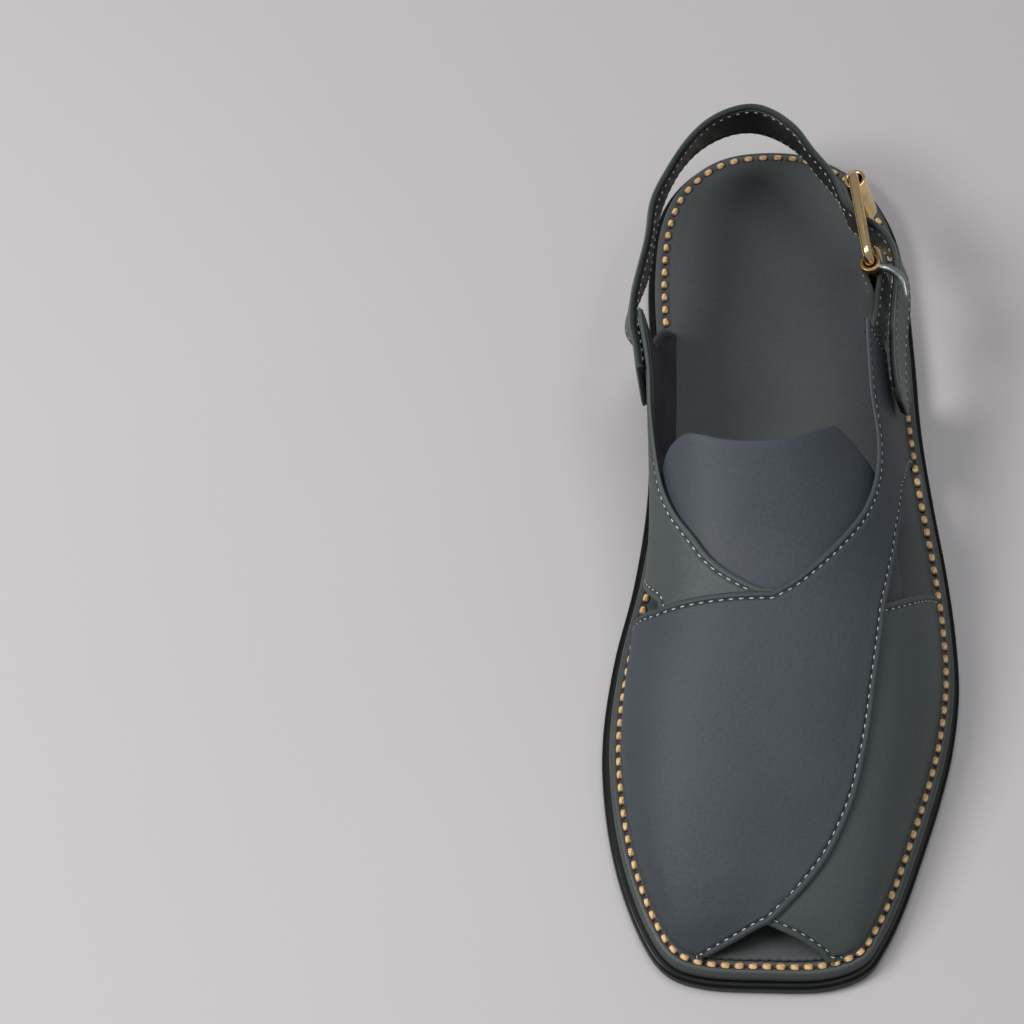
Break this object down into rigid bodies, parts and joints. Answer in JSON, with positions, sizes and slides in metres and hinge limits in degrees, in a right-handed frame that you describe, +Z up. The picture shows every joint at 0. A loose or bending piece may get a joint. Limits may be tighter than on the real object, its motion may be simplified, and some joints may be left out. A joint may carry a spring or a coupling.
{
  "type": "sandal",
  "caption": "Flat left sandal with crossed panels over the foot, a free tongue, arms at both sides and a buckled heel strap on a wide squared sole.",
  "frame": {"origin": "centre of the bounding box on the floor under the sole", "axes": "+Z up, toe toward -Y, heel toward +Y, lateral side toward +X"},
  "size_m": [0.1094, 0.2921, 0.0649],
  "materials": {
    "outsole_rubber": "smooth gloss black",
    "welt_leather": "smooth dark grey, wrapped edge",
    "footbed_leather": "matte dark grey",
    "panel_leather": "fine grain, satin grey",
    "tongue_leather": "smooth blue-grey",
    "strap_leather": "satin grey with black lining",
    "gold_metal": "polished gold",
    "steel_metal": "polished"
  },
  "bodies": {
    "shoe": {"outsole": "outsole_rubber", "welt_board": "welt_leather", "footbed": "footbed_leather", "upper": "panel_leather", "tongue": "tongue_leather", "heel_strap": "strap_leather", "buckle_loop": "panel_leather", "buckle_frame": "gold_metal"},
    "roller": {"buckle_roller": "gold_metal"},
    "prong": {"buckle_prong": "steel_metal"}
  },
  "joints": [
    {"name": "roller_spin", "type": "hinge", "parent": "shoe", "child": "roller", "pos_m": [0.02816, 0.10253, 0.04556], "axis": [-0.2873, 0, 0.9578], "continuous": true},
    {"name": "prong_swing", "type": "hinge", "parent": "shoe", "child": "prong", "pos_m": [0.03128, 0.071, 0.0465], "axis": [-0.2873, 0, 0.9578], "range_deg": [-60, 30]}
  ]
}
